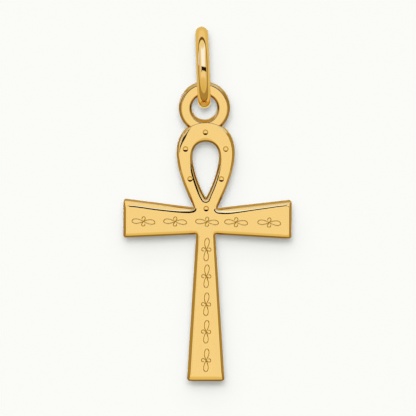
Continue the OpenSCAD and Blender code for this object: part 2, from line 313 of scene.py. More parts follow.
# The body's front edge. A bevel runs round the front at 45 degrees. On some stretches a fine step runs inside
# it, and elsewhere a soft shoulder leads to the flat face. Both are uneven. For stations in order along each
# outline: (u, w), then the bevel's width, how far in the step or shoulder ends, the widths of the step's dark
# run and bright run, and the painted shade of the bevel and of the rim inside it, a darker gold in place of
# the dark reflections there.
OUTER_EDGE = np.array([
    (0, -1.66, 0.045, 0.06, 0, 0, 0.9, 0), (0.98, -1.87, 0.045, 0.06, 0, 0, 0.9, 0),
    (1.2, -1.99, 0.17, 0.2, 0, 0, 0.3, 0), (1.42, -2.3, 0.18, 0.2, 0, 0, 0.2, 0),
    (2, -3.3, 0.2, 0.22, 0, 0, 0.15, 0), (2.2, -4.6, 0.2, 0.29, 0, 0, 0.12, 0),
    (1.6, -6.4, 0.17, 0.38, 0, 0, 0.15, 0), (1.3, -7, 0.18, 0.42, 0, 0, 0.25, 0),
    (0.95, -8, 0.16, 0.3, 0, 0, 0.5, 0), (0.99, -8.1, 0.1, 0.3, 0.11, 0.02, 0.6, 0),
    (1.17, -8.18, 0.085, 0.385, 0.14, 0.08, 0.9, 0), (1.45, -8.15, 0.085, 0.43, 0.135, 0.08, 0.85, 0),
    (1.86, -8.1, 0.085, 0.455, 0.125, 0.075, 0.85, 0), (2.56, -8.02, 0.08, 0.432, 0.107, 0.05, 0.75, 0),
    (3.25, -7.94, 0.08, 0.402, 0.095, 0.04, 0.75, 0), (3.95, -7.87, 0.08, 0.377, 0.09, 0.03, 0.7, 0),
    (4.64, -7.79, 0.08, 0.357, 0.087, 0.03, 0.7, 0), (5.34, -7.71, 0.08, 0.327, 0.083, 0.03, 0.7, 0),
    (6.2, -7.65, 0.08, 0.322, 0.08, 0.03, 0.7, 0), (6.48, -7.9, 0.18, 0.24, 0.02, 0.02, 0.2, 0),
    (6.5, -8.3, 0.19, 0.25, 0, 0, 0.15, 0), (6.5, -10.2, 0.18, 0.31, 0, 0, 0.2, 0),
    (5.8, -10.42, 0.15, 0.44, 0, 0, 0.7, 0), (1.2, -10.18, 0.15, 0.44, 0, 0, 0.6, 0),
    (0.8, -11, 0.18, 0.29, 0, 0, 0.2, 0), (1.38, -20.6, 0.2, 0.32, 0, 0, 0.12, 0),
    (1.1, -21.46, 0.12, 0.5, 0, 0, 0.85, 0), (-1.1, -21.46, 0.12, 0.5, 0, 0, 0.75, 0),
    (-1.38, -20.8, 0.23, 0.48, 0, 0, 0.05, 0), (-0.8, -11, 0.21, 0.31, 0, 0, 0.15, 0),
    (-1.2, -10.15, 0.15, 0.44, 0, 0, 0.5, 0), (-5.8, -10.35, 0.15, 0.44, 0, 0, 0.55, 0),
    (-6.27, -9.8, 0.2, 0.29, 0, 0, 0.25, 0), (-6.26, -8.1, 0.19, 0.27, 0, 0, 0.15, 0),
    (-6.24, -7.7, 0.12, 0.48, 0.06, 0.01, 0.3, 0), (-6, -7.5, 0.06, 0.485, 0.085, 0.02, 0.5, 0),
    (-5.65, -7.55, 0.05, 0.465, 0.1, 0.02, 0.5, 0), (-5.36, -7.59, 0.05, 0.447, 0.11, 0.025, 0.5, 0),
    (-4.66, -7.68, 0.05, 0.452, 0.11, 0.025, 0.5, 0), (-3.97, -7.77, 0.05, 0.472, 0.115, 0.025, 0.5, 0),
    (-3.27, -7.86, 0.06, 0.467, 0.115, 0.03, 0.6, 0), (-2.58, -7.95, 0.075, 0.457, 0.12, 0.035, 0.75, 0),
    (-1.89, -8.04, 0.075, 0.437, 0.14, 0.04, 0.8, 0), (-1.4, -8.11, 0.07, 0.4, 0.175, 0.05, 0.85, 0),
    (-1.19, -8.13, 0.07, 0.38, 0.175, 0.04, 0.85, 0), (-1, -8.1, 0.08, 0.31, 0.18, 0, 0.8, 0.2),
    (-1.03, -7.9, 0.15, 0.2, 0, 0, 0.5, 0), (-1.36, -7.07, 0.2, 0.42, 0, 0, 0.25, 0),
    (-1.62, -6.43, 0.19, 0.44, 0, 0, 0.15, 0), (-2, -5.3, 0.19, 0.46, 0, 0, 0.12, 0),
    (-2.17, -4.4, 0.19, 0.4, 0, 0, 0.12, 0), (-2.21, -3.95, 0.16, 0.29, 0.09, 0, 0.2, 0.1),
    (-2.17, -3.5, 0.14, 0.345, 0.18, 0, 0.3, 0.15), (-2.11, -3.11, 0.12, 0.4, 0.21, 0, 0.4, 0.15),
    (-1.97, -2.74, 0.11, 0.435, 0.235, 0, 0.5, 0.15), (-1.77, -2.39, 0.11, 0.36, 0.14, 0, 0.5, 0.15),
    (-1.55, -2.15, 0.11, 0.27, 0.08, 0, 0.5, 0.1), (-1.3, -1.93, 0.1, 0.17, 0.05, 0, 0.4, 0.1),
    (-1.08, -1.83, 0.045, 0.06, 0, 0, 0.9, 0),
])
EYE_EDGE = np.array([
    (0, -3, 0.14, 0.44, 0, 0, 0.75, 0), (-0.65, -3.24, 0.16, 0.29, 0, 0, 0.8, 0),
    (-0.99, -4.54, 0.18, 0.23, 0, 0, 0.85, 0), (-0.96, -4.74, 0.15, 0.28, 0.11, 0, 1, 0.2),
    (-0.89, -5.13, 0.12, 0.34, 0.165, 0, 1, 0.4), (-0.67, -5.9, 0.12, 0.335, 0.145, 0, 1, 0.4),
    (-0.42, -6.55, 0.12, 0.337, 0.145, 0, 1, 0.35), (-0.22, -7.01, 0.11, 0.35, 0.12, 0.02, 1, 0.3),
    (-0.1, -7.25, 0.11, 0.345, 0.11, 0.03, 1, 0.2), (0.1, -7.25, 0.11, 0.32, 0.09, 0.02, 1, 0.2),
    (0.24, -6.97, 0.11, 0.29, 0.11, 0, 1, 0.2), (0.52, -6.32, 0.11, 0.3, 0.13, 0, 1, 0.25),
    (0.74, -5.66, 0.12, 0.31, 0.15, 0, 1, 0.35), (0.87, -5.18, 0.15, 0.27, 0.09, 0, 0.95, 0.2),
    (0.97, -4.7, 0.18, 0.24, 0, 0, 0.85, 0), (0.6, -3.2, 0.15, 0.26, 0, 0, 0.9, 0),
])
# Where the bevels lie flatter: (u, w) of a middle and its reach, which fades over the last of it
NECKS, EYE_TOP = ((1.75, -6.2, 1.3), (-1.75, -6.2, 1.3)), ((0.0, -3.9, 1.55),)
FLATTER_EASE = 0.3
BEVEL_SLOPE, BEVEL_FLATTER, BEVEL_BLEND = 1.0, 0.26, 0.02
SHOULDER_SLOPE, SHOULDER_POWER = 0.4, 1.4
# Slopes of the step's dark run at its outer and inner end, and of its bright run; the runs' ease; from what
# dark run on there is a full step; and the least share of a wall's upward lean, to the left and to the right
STEP_LOW, STEP_HIGH, STEP_BRIGHT, STEP_EASE = 0.05, 0.165, 0.2, 0.01
STEP_FULL, RIM_EASE = 0.02, 0.02
LEAN_LEFT, LEAN_RIGHT = 0.42, 0.6
# The step and the shoulder follow an outline with rounder corners, from this near on
SOFT_CORNER, SOFT_NEAR = 0.45, 0.16
STRIP_W = 0.14       # the strip along each outline that has rows of its own
SPREAD_ROUNDS = 3
CHUNK = 3000         # places worked on at a time


def spread(path, stations):
    """Values at every point of a closed path: straight between the stations along it, then smoothed."""
    step = np.linalg.norm(np.roll(path, -1, axis=0) - path, axis=1)
    length = np.concatenate([[0], np.cumsum(step)])
    at = np.array([np.argmin(((path - place) ** 2).sum(1)) for place in stations[:, :2]])
    order = np.argsort(at)
    values = stations[order, 2:]
    out = np.stack([np.interp(length[:-1], length[at[order]], v, period=length[-1]) for v in values.T], -1)
    for _ in range(SPREAD_ROUNDS):
        out = (np.roll(out, 1, axis=0) + out * 2 + np.roll(out, -1, axis=0)) / 4
    return out


def nearest(points, path, values=None):
    """Each point's distance from a closed path, the unit way from the path to it, and the values there."""
    e = np.roll(path, -1, axis=0) - path
    ee = np.maximum((e * e).sum(1), 1e-14)
    size = (path * path).sum(1)
    near = np.concatenate([np.argmin(size - 2 * points[i:i + CHUNK] @ path.T, axis=1)
                           for i in range(0, len(points), CHUNK)])
    best, foot, value = np.full(len(points), 9e9), np.zeros((len(points), 2)), None
    for k in ((near - 1) % len(path), near):
        t = np.clip(((points - path[k]) * e[k]).sum(1) / ee[k], 0, 1)
        f = path[k] + e[k] * t[:, None]
        d = ((points - f) ** 2).sum(1)
        closer = d < best
        best = np.where(closer, d, best)
        foot = np.where(closer[:, None], f, foot)
        if values is not None:
            v = values[k] * (1 - t[:, None]) + values[(k + 1) % len(path)] * t[:, None]
            value = v if value is None else np.where(closer[:, None], v, value)
    d = np.sqrt(best)
    way = (points - foot) / np.maximum(d, 1e-9)[:, None]
    return d, way, value


def inside(points, loop):
    """Whether flat places lie inside a closed polygon, by counting the edges to their right."""
    a, b = loop, np.roll(loop, -1, axis=0)
    x, y = points[:, :1], points[:, 1:]
    spans = (a[:, 1] > y) != (b[:, 1] > y)
    rise = np.where(b[:, 1] == a[:, 1], 1, b[:, 1] - a[:, 1])
    at = a[:, 0] + (y - a[:, 1]) * (b[:, 0] - a[:, 0]) / rise
    return (spans & (x < at)).sum(1) % 2 == 1


outer_0, eye_0 = outer_path(0.0), eye_path(0.0)
outer_soft = outer_path(0.0, SOFT_CORNER)
outer_edge, eye_edge = spread(outer_0, OUTER_EDGE), spread(eye_0, EYE_EDGE)


def piecewise(s, places, values):
    """Straight pieces through (place, value), both per point: their value at s, and their area beyond s."""
    value, area = np.zeros(len(s)), np.zeros(len(s))
    for a, b, u, v in zip(places[:-1], places[1:], values[:-1], values[1:]):
        length = np.maximum(b - a, 1e-9)
        t = np.clip((s - a) / length, 0, 1)
        here = u + (v - u) * t
        area += (1 - t) * length * (here + v) / 2
        value += np.where((s >= a) & (s < b), here, 0)
    return value, area


def front(points):
    """Height of the plain front at flat places, its slope as a vector, and its painted shade.

    The bevel's height rises evenly to its width. The shoulder's slope falls as a power of the way left to its
    end, and the step's slope runs in straight pieces. Their corners are rounder than the outline's.
    """
    height, slope, painted_shade = np.full(len(points), PLATE_T), np.zeros((len(points), 2)), np.zeros(len(points))
    both = ((outer_0, outer_soft, outer_edge, NECKS), (eye_0, None, eye_edge, EYE_TOP))
    for path, soft, edge, flatter in both:
        d, way, v = nearest(points, path, edge)
        bevel, end, dark, bright, bevel_shade, rim_shade = v.T
        s, s_way = d, way
        if soft is not None:
            s, s_way, _ = nearest(points, soft)
            close = np.flatnonzero(s < SOFT_NEAR)
            out = close[~inside(points[close], soft)]
            s[out], s_way[out] = -s[out], -s_way[out]
        is_step = np.clip(dark / STEP_FULL, 0, 1)
        near = [np.clip((far - np.hypot(points[:, 0] - u, points[:, 1] - w)) / FLATTER_EASE, 0, 1)
                for u, w, far in flatter]
        tilt = BEVEL_SLOPE - BEVEL_FLATTER * np.max(near, axis=0)
        x = np.clip((end - s) / (end - bevel), 0, 1)
        shoulder = SHOULDER_SLOPE * x ** SHOULDER_POWER
        shoulder_fall = SHOULDER_SLOPE * ((end - bevel) * x ** (SHOULDER_POWER + 1) / (SHOULDER_POWER + 1)
                                          + np.maximum(bevel - s, 0))
        steeper = 1 / np.maximum(-s_way[:, 1], np.where(s_way[:, 0] < 0, LEAN_LEFT, LEAN_RIGHT))
        zero = np.zeros(len(s))
        inner = end - dark
        places = [inner - bright - 2 * STEP_EASE, inner - bright - STEP_EASE, inner - STEP_EASE, inner, end,
                  end + STEP_EASE]
        step, step_fall = piecewise(s, places, [zero, steeper * STEP_BRIGHT, steeper * STEP_BRIGHT,
                                                steeper * STEP_HIGH, steeper * STEP_LOW, zero])
        y = bevel - d
        height -= shoulder_fall * (1 - is_step) + step_fall * is_step
        height -= (tilt - SHOULDER_SLOPE * (1 - is_step)) * np.where(
            abs(y) < BEVEL_BLEND, (y + BEVEL_BLEND) ** 2 / (4 * BEVEL_BLEND), np.maximum(y, 0))
        slope += (shoulder * (1 - is_step) + step * is_step)[:, None] * s_way
        on_bevel = np.clip((y + BEVEL_BLEND) / (2 * BEVEL_BLEND), 0, 1)
        slope += ((tilt - SHOULDER_SLOPE * (1 - is_step)) * on_bevel)[:, None] * way
        # Painted shade on the bevel and on the rim inside the step: a darker gold in place of dark
        # reflections there
        on_rim = np.clip((end - dark / 2 - s) / RIM_EASE, 0, 1)
        painted_shade = np.maximum(painted_shade, np.maximum(bevel_shade * on_bevel, rim_shade * on_rim))
    return height, slope, painted_shade


# Engraved scrolls and punched dimples
FIGURE_LEN, LINE_W, LINE_DEPTH = 1.74, 0.08, 0.014
# Shares of a scroll's length: a lobe's width and lean, the middle and radius of a curl; and the curl's sweep
LOBE_W, LOBE_LEAN, CURL_MID, CURL_R, CURL_SWEEP = 0.2, 0.04, (0.132, 0.008), 0.072, rad(235)
LOBE_POINTS, CURL_POINTS = 61, 31


def figure_strokes():
    """The scroll's four strokes as polylines, upright round its middle, in millimetres.

    A lobe runs along as the square of sin t/2 and across as sin t sin t/2, and the upper one leans. A curl
    runs straight from the middle to its circle and on round it.
    """
    t = np.linspace(0, 2 * np.pi, LOBE_POINTS)
    peak = 4 / (3 * math.sqrt(3))    # greatest value of sin t sin t/2
    along_lobe = np.sin(t / 2) ** 2
    across = LOBE_W / 2 * np.sin(t) * np.sin(np.where(t > np.pi, 2 * np.pi - t, t) / 2) / peak
    upper = np.stack([across + LOBE_LEAN * along_lobe, along_lobe / 2], -1)
    lower = np.stack([across - LOBE_LEAN / 3 * along_lobe, -along_lobe / 2], -1)
    far = math.hypot(*CURL_MID)
    start = math.atan2(CURL_MID[1], CURL_MID[0]) + math.pi - math.acos(CURL_R / far)
    s = start - np.linspace(0, CURL_SWEEP, CURL_POINTS)
    bow = np.stack([-CURL_MID[0] - CURL_R * np.cos(s), CURL_MID[1] + CURL_R * np.sin(s)], -1)
    curl = np.vstack([[0, 0], bow])
    return [FIGURE_LEN * k for k in (upper, lower, curl, -curl)]


STROKES = figure_strokes()
PATCH_W, PATCH_L, PATCH_STEP = 0.86, 1.88, 0.021

# Middles of the scrolls as cut by hand, (u, w), and their turn
FIGURES = [((-4.74, -9.11), -90.4), ((-2.33, -9.12), -90.4), ((0.10, -9.14), -90.4), ((2.31, -9.17), -90.4),
           ((4.83, -9.20), -90.4), ((0.05, -11.27), 0), ((0.05, -13.33), 0), ((0.03, -15.49), 0),
           ((0.03, -17.61), 0), ((0.03, -19.81), 0)]


def stroke_depth(p):
    """How deep the graver went at figure places: a rounded V about the nearest stroke."""
    d = np.full(len(p), 9.0)
    for k in STROKES:
        a, e = k[:-1], np.diff(k, axis=0)
        t = np.clip(((p[:, None] - a) * e).sum(-1) / np.maximum((e * e).sum(-1), 1e-12), 0, 1)
        d = np.minimum(d, np.sqrt((((p[:, None] - a) - e * t[..., None]) ** 2).sum(-1).min(1)))
    x = np.clip(d / (LINE_W / 2), 0, 1)
    return LINE_DEPTH * (1 - x) ** 2 * (1 + 2 * x)


def figure_patch(middle, turn_deg):
    """A scroll's patch: places, height over the plain front, slope, rows, columns, and how deep it is cut,
    which also sets its painted shade.
    """
    nu, nw = round(PATCH_W / PATCH_STEP) + 1, round(PATCH_L / PATCH_STEP) + 1
    x, y = np.meshgrid(np.linspace(-PATCH_W / 2, PATCH_W / 2, nu), np.linspace(-PATCH_L / 2, PATCH_L / 2, nw))
    p = np.stack([x.reshape(-1), y.reshape(-1)], -1)
    c, s = math.cos(rad(turn_deg)), math.sin(rad(turn_deg))
    turned = np.array([[c, s], [-s, c]])
    groove = stroke_depth(p)
    rise_y, rise_x = np.gradient(-groove.reshape(nw, nu), y[1, 0] - y[0, 0], x[0, 1] - x[0, 0])
    slope = np.stack([rise_x.reshape(-1), rise_y.reshape(-1)], -1) @ turned
    return p @ turned + middle, -groove, slope, nw, nu, groove / LINE_DEPTH


# A punched dimple is a very shallow bowl: its slopes and its painted shade (a darker ring round its rim) by
# share of its radius, and its rings' shares
DIMPLE_R, DIMPLE_SPOKES = 0.205, 32
DIMPLE_SLOPES = ((0, 0), (0.25, 0.03), (0.38, 0.065), (0.7, 0.1), (1.0, 0.135), (1.05, 0.08), (1.1, 0),
                 (1.14, 0))
DIMPLE_SHADES = ((0, 0.05), (0.5, 0.12), (0.68, 0.42), (1.0, 0.42), (1.1, 0))
DIMPLE_RINGS = np.array([0.05, 0.2, 0.35, 0.5, 0.6, 0.7, 0.78, 0.82, 0.845, 0.87, 0.895, 0.92, 0.945, 0.97,
                         1.0, 1.04, 1.14])
DIMPLES = [(-0.02, -2.272, 0.9), (-1.536, -3.555, 1.05), (1.526, -3.555, 0.6), (-1.187, -5.85, 0.95),
           (1.191, -5.857, 1.0), (0.036, -8.129, 1.05)]   # place and how hard it was punched


def dimple_patch(across, up_to, force):
    """A dimple's patch: rings of points from its middle to just past its rim."""
    x = DIMPLE_RINGS
    at, steep = np.array(DIMPLE_SLOPES).T
    fine = np.linspace(0, x[-1], 400)
    depth_fine = np.cumsum(np.interp(fine, at, steep * force)) * (fine[1] - fine[0]) * DIMPLE_R
    h = np.interp(x, fine, depth_fine - depth_fine[-1])
    t = np.linspace(0, 2 * np.pi, DIMPLE_SPOKES + 1)[:-1]
    spoke = np.stack([np.cos(t), np.sin(t)], -1)
    flat = np.array([across, up_to]) + (x[:, None, None] * DIMPLE_R * spoke).reshape(-1, 2)
    slope = (np.interp(x, at, steep * force)[:, None, None] * spoke).reshape(-1, 2)
    shade = np.repeat(np.interp(x, *np.array(DIMPLE_SHADES).T), len(t))
    return flat, np.repeat(h, len(t)), slope, len(x), len(t), shade


def rim_of(rows, columns):
    """Indices round the rim of a grid of points."""
    top = np.arange(columns)
    right = np.arange(1, rows) * columns + columns - 1
    bottom = (rows - 1) * columns + np.arange(columns - 1)[::-1][:-1]
    left = np.arange(rows - 1, 0, -1) * columns
    return np.concatenate([top, right, bottom, left])


def tilted(way, tilt):
    """Normals in the part's frame that lean by tilt from the front towards the flat way."""
    c, s = math.cos(tilt), math.sin(tilt)
    return np.stack([way[:, 0] * s, np.full(len(way), -c), way[:, 1] * s], -1)


def upright(slope):
    """Normals of the front where its height has this slope."""
    n = np.stack([-slope[:, 0], -np.ones(len(slope)), -slope[:, 1]], -1)
    return n / np.linalg.norm(n, axis=1)[:, None]


BACK_R, BACK_ROWS = 0.06, 5          # rounding of the back edges
STRIP_ROWS, STRIP_FOOT = 9, 0.12     # rows of the strip, and the share of its width where the last one runs
BEVEL_FOOT = 0.012                   # how far the wall's top stands over the bevel's foot
# From the bevel's foot to the wall: (way in, drop, tilt in degrees), and shares of the wall's height
FOOT_SECTIONS = ((0.003, -0.006, 60), (0.0, -0.02, 84), (0.0, -0.06, 90))
WALL_SHARES = (0.7, 0.4, 0.1)
# Painted shade of the bevel's foot, the outer wall, the opening's wall and the back rounding: darker gold in
# place of dark reflections
FOOT_SHADE, WALL_SHADE, EYE_SHADE, BACK_SHADE = 0.6, 0.8, 1.0, 0.8
# Round a patch's rim: how far it reaches from its middle, and where rows' points are left out or left untied
RIM_REACH, RIM_CLEAR, RIM_UNTIED = 1.3, 0.018, 0.06
ROW_STEPS = np.linspace(0.1, 0.62, 27)   # depths of the inset outlines that the rows are read from
ROW_ROUNDS = 4                           # rounds that find a row's depth
ROW_CLEAR, ROW_APART = 0.012, 0.008      # a row's least depth past the strip, and a point's least distance


def row_depths(bevel, end, dark, bright):
    """How far in from the outline each row of points runs, and where it is wanted, for an edge's sizes."""
    stepped, everywhere = dark > 0.006, np.ones(len(bevel), bool)
    rows = [(bevel + a, everywhere) for a in (-0.02, 0.0, 0.02)]
    rows += [(bevel + (end - bevel) * a, ~stepped & (end > bevel + 0.12)) for a in (0.3, 0.6)]
    rows += [(np.maximum(bevel + a, b), everywhere) for a, b in ((0.032, 0.168), (0.05, 0.2))]
    rows += [(np.maximum(end + 0.02, 0.225), ~stepped)]
    rows += [(end - dark * a, stepped) for a in (0, 0.35, 0.7, 1)]
    rows += [(end + a, stepped) for a in (STEP_EASE, 0.03)]
    rows += [(end - dark - STEP_EASE, stepped), (end - dark - bright - STEP_EASE, stepped & (bright > 0.01)),
             (end - dark - bright - 2 * STEP_EASE, stepped), (end - dark - bright - 0.04, stepped)]
    return rows


def follow_rows():
    """Rows of points along the front's bevels, shoulders and steps: the points, and the pairs to tie in rows.

    An inset outline's points slide along it, so each row's depth is found again from the sizes where it lies.
    """
    points, pairs, used, count, steps = [], [], [], 0, ROW_STEPS
    for path, edge in ((outer_path, outer_edge), (eye_path, eye_edge)):
        stack, outline = np.stack([path(d) for d in steps]), path(0.0)
        i = np.arange(len(outline))
        pair = np.stack([i, np.roll(i, -1)], 1)
        for row in range(len(row_depths(*edge[:, :4].T))):
            here = edge
            for _ in range(ROW_ROUNDS):
                depth, wanted = row_depths(*here[:, :4].T)[row]
                k = np.clip(((depth - steps[0]) / (steps[1] - steps[0])).astype(int), 0, len(steps) - 2)
                t = ((depth - steps[k]) / (steps[1] - steps[0]))[:, None]
                q = stack[k, i] * (1 - t) + stack[k + 1, i] * t
                here = nearest(q, outline, edge)[2]
            wanted = wanted & (depth > STRIP_W + ROW_CLEAR)
            points.append(q)
            pairs.append(pair[wanted[pair].all(1)] + count)
            used.append(wanted)
            count += len(q)
    points, pairs, used = np.vstack(points), np.vstack(pairs), np.concatenate(used)
    used &= np.minimum(nearest(points, outer_0)[0], nearest(points, eye_0)[0]) > STRIP_W + ROW_APART
    pairs = pairs[used[pairs].all(1)]
    return points[used], np.cumsum(used)[pairs] - 1


def body_mesh():
    """The pendant's body: edge strips carried along the outlines, the front between them, and a flat back.

    Returns points, faces, normals, and the point values groove, which also sets the painted shade of the
    cuts, and painted_shading, the painted shade of the edges.
    """
    points, faces, normals, groove, painted_shading = [], [], [], [], []
    count = 0

    # dark is a point's groove value, which also sets painted shade, and side is its painted shading
    def add(p, f, n, dark=0.0, side=0.0):
        nonlocal count
        points.append(p)
        normals.append(n)
        groove.append(np.broadcast_to(dark, len(p)))
        painted_shading.append(np.broadcast_to(side, len(p)))
        faces.extend([g + count for g in f])
        count += len(p)

    def add_front(flat, f, extra_height=0.0, extra_slope=0.0, dark=0.0):
        height, slope, painted_shade = front(flat)
        space = in_space(flat[:, 0], flat[:, 1], height + extra_height)
        add(space, f, upright(slope + extra_slope), dark, painted_shade)

    # strips: bevel rows, the bevel's foot, the side wall and the back edge's small rounding, each with its
    # painted shade
    for path, inner in ((outer_path, False), (eye_path, True)):
        p, n, side = [], [], []
        for d in STRIP_W * np.linspace(1, STRIP_FOOT, STRIP_ROWS):
            flat = path(d)
            height, slope, painted_shade = front(flat)
            p.append(in_space(flat[:, 0], flat[:, 1], height))
            n.append(upright(slope))
            side.append(painted_shade)
        edge = path(0.0)
        out = left_of(along(edge, closed=True))
        low = front(edge)[0] + BEVEL_FOOT
        for d, drop, tilt in FOOT_SECTIONS:
            q = edge - out * d
            p.append(in_space(q[:, 0], q[:, 1], low + drop))
            n.append(tilted(out, rad(tilt)))
            side.append(np.full(len(q), EYE_SHADE if inner else FOOT_SHADE))
        for share in WALL_SHARES:
            p.append(in_space(edge[:, 0], edge[:, 1], BACK_R + (low + FOOT_SECTIONS[-1][1] - BACK_R) * share))
            n.append(tilted(out, rad(90)))
            side.append(np.full(len(edge), EYE_SHADE if inner else WALL_SHADE))
        for a in np.linspace(0, np.pi / 2, BACK_ROWS):
            q = edge - out * BACK_R * (1 - math.cos(a))
            p.append(in_space(q[:, 0], q[:, 1], np.full(len(q), BACK_R * (1 - math.sin(a)))))
            n.append(tilted(out, math.pi / 2 + a))
            side.append(np.full(len(q), BACK_SHADE * math.cos(a)))
        quads = grid_quads(len(p), len(edge), closed_columns=True)
        add(np.vstack(p), [quads], np.vstack(n), 0.0, np.concatenate(side))
    front_loops = [outer_path(STRIP_W), eye_path(STRIP_W)]
    edges = [(q, left_of(along(q, closed=True))) for q in (outer_path(0.0), eye_path(0.0))]
    back_loops = [q - out * BACK_R for q, out in edges]

    # front: scrolls and dimples in their own patches, rows of points over the shoulder, triangles between
    rims = []
    for i, (flat, lift, slope, rows, columns, dark) in enumerate(
            [figure_patch(*f) for f in FIGURES] + [dimple_patch(*m) for m in DIMPLES]):
        is_round = i >= len(FIGURES)
        quads = grid_quads(rows, columns, closed_columns=is_round)
        add_front(flat, [quads[:, ::-1] if is_round else quads], lift, slope, dark)
        if is_round:
            rims.append(flat[(rows - 1) * columns:])
            hub = flat[:columns].mean(0)
            ring_i = np.arange(columns)
            both = np.vstack([flat[:columns], hub])
            add_front(both, [np.stack([ring_i, np.roll(ring_i, -1), np.full(columns, columns)], 1)], lift[0],
                      np.vstack([slope[:columns], [0, 0]]), dark[0])
        else:
            rims.append(flat[rim_of(rows, columns)])
    cloud, links = follow_rows()
    keep, tied = np.ones(len(cloud), bool), np.ones(len(cloud), bool)
    for rim in rims:
        near = np.flatnonzero((np.abs(cloud - rim.mean(0)) < RIM_REACH).all(1))
        if len(near):
            far = nearest(cloud[near], rim)[0]
            keep[near[inside(cloud[near], rim) | (far < RIM_CLEAR)]] = False
            tied[near[far < RIM_UNTIED]] = False
    links = links[(keep & tied)[links].all(1)]
    verts, edge_list, first = [], [], 0
    for loop in front_loops + rims:
        i = np.arange(len(loop))
        edge_list.append(np.stack([i, np.roll(i, -1)], 1) + first)
        first += len(loop)
        verts.append(loop)
    edge_list.append(np.cumsum(keep)[links] - 1 + first)
    flat, tris = triangulated(np.vstack(verts + [cloud[keep]]), np.vstack(edge_list))
    mid = flat[tris].mean(1)
    good = inside(mid, front_loops[0]) & ~inside(mid, front_loops[1])
    for rim in rims:
        near = (np.abs(mid - rim.mean(0)) < RIM_REACH).all(1) & good
        if near.any():
            good[np.flatnonzero(near)[inside(mid[near], rim)]] = False
    add_front(flat, [tris[good]])

    # back: flat between the two rounded edges
    i, j = np.arange(len(back_loops[0])), np.arange(len(back_loops[1])) + len(back_loops[0])
    edge_list = np.vstack([np.stack([i, np.roll(i, -1)], 1), np.stack([j, np.roll(j, -1)], 1)])
    flat, tris = triangulated(np.vstack(back_loops), edge_list)
    mid = flat[tris].mean(1)
    good = inside(mid, back_loops[0]) & ~inside(mid, back_loops[1])
    add(in_space(flat[:, 0], flat[:, 1], np.zeros(len(flat))), [tris[good][:, ::-1]],
        np.broadcast_to([0.0, 1.0, 0.0], (len(flat), 3)))
    return welded(np.vstack(points), faces, np.vstack(normals), np.concatenate(groove), np.concatenate(painted_shading))


def triangulated(verts, edges):
    """Triangles over flat points that keep the given edges, anticlockwise and as near even as can be."""
    out = delaunay_2d_cdt([Vector(v) for v in verts.tolist()], edges.tolist(), [], 0, 1e-7, False)
    flat = np.array([[v.x, v.y] for v in out[0]])
    tris = np.array(out[2])
    turn_way = cross(flat[tris[:, 1]] - flat[tris[:, 0]], flat[tris[:, 2]] - flat[tris[:, 0]])
    tris[turn_way < 0] = tris[turn_way < 0][:, ::-1]
    return flat, tris[np.abs(turn_way) > 1e-12]


HANG_POINTS = 192
# The hang loop's front edges: the bevels' widths outside, less at the top, and inside, how much of the fall
# towards the bevel each has, and how much painted shade each gets, a darker gold in place of dark reflections
HANG_BEVEL_OUT, HANG_BEVEL_TOP, HANG_BEVEL_IN = 0.19, 0.09, 0.15
HANG_FALL_OUT, HANG_FALL_IN = 1.0, 0.5
HANG_SHADE_OUT, HANG_SHADE_TOP, HANG_SHADE_IN = 0.45, 0.2, 0.62
# Rows of the flat front beside a bevel: (way in from it, fall, share of its painted shade)
HANG_SHOULDER = ((0.09, 0, 0), (0.06, 0.001, 0.2), (0.045, 0.003, 0.6), (0.03, 0.0054, 0.8),
                 (0.015, 0.0078, 0.9), (0.0, 0.0102, 1))
BORE_EASE = 0.012    # how much the visible bore's radius is over half of HANG_BORE


def hang_loop_mesh():
    """The flat hang loop: a section with a bevel and a tight shoulder at each front edge, round a circle,
    with painted shade on its edges.
    """
    low, high = HANG_STEP, PLATE_T - HANG_STEP
    r_in, r_out = HANG_BORE / 2 + BORE_EASE, HANG_OD / 2
    t = np.linspace(0, 2 * np.pi, HANG_POINTS + 1)[:-1]
    at_top = np.maximum(np.cos(t), 0)

    def edge(bevel, fall_share):
        """From the flat front over an edge to the flat back: rows of way in from it, height, and painted
        shade.

        The front slopes a little more towards the bevel, which stands at 45 degrees.
        """
        rows = [(bevel + way_in, high - fall_share * fall, painted_shade) for way_in, fall, painted_shade in HANG_SHOULDER]
        foot = high - fall_share * HANG_SHOULDER[-1][1] - bevel
        rows += [(bevel * x, foot + bevel * x, 1) for x in (0.85, 0.5, 0.15)]
        rows += [(0.004, foot + 0.012, 1), (0, foot - 0.01, 1), (0, foot - 0.05, 1)]
        rows += [(0, low + BACK_R + 0.1, 1)]
        rows += [(BACK_R * (1 - math.cos(a)), low + BACK_R * (1 - math.sin(a)), 0.4 * math.cos(a))
                 for a in np.linspace(0, np.pi / 2, BACK_ROWS)]
        return np.array([[np.broadcast_to(x, t.shape) for x in row] for row in rows])

    outer = edge(HANG_BEVEL_OUT - HANG_BEVEL_TOP * at_top ** 2, HANG_FALL_OUT)
    inner = edge(HANG_BEVEL_IN, HANG_FALL_IN)[::-1]
    r = np.concatenate([r_out - outer[:, 0], r_in + inner[:, 0]])
    h = np.concatenate([outer[:, 1], inner[:, 1]])
    shade_out = HANG_SHADE_OUT + HANG_SHADE_TOP * at_top
    side = np.concatenate([outer[:, 2] * shade_out, inner[:, 2] * HANG_SHADE_IN])
    p = in_space(-HANG_SHIFT + r * np.sin(t), -hang_drop + r * np.cos(t), h).reshape(-1, 3)
    return p, [grid_quads(len(r), len(t), closed_rows=True, closed_columns=True)[:, ::-1]], side.reshape(-1)


RING_POINTS, WIRE_POINTS = 256, 72
FOOT_FROM, FOOT_EASE = 0.72, 0.2     # the ring's foot begins where -cos t passes this, and eases in over that


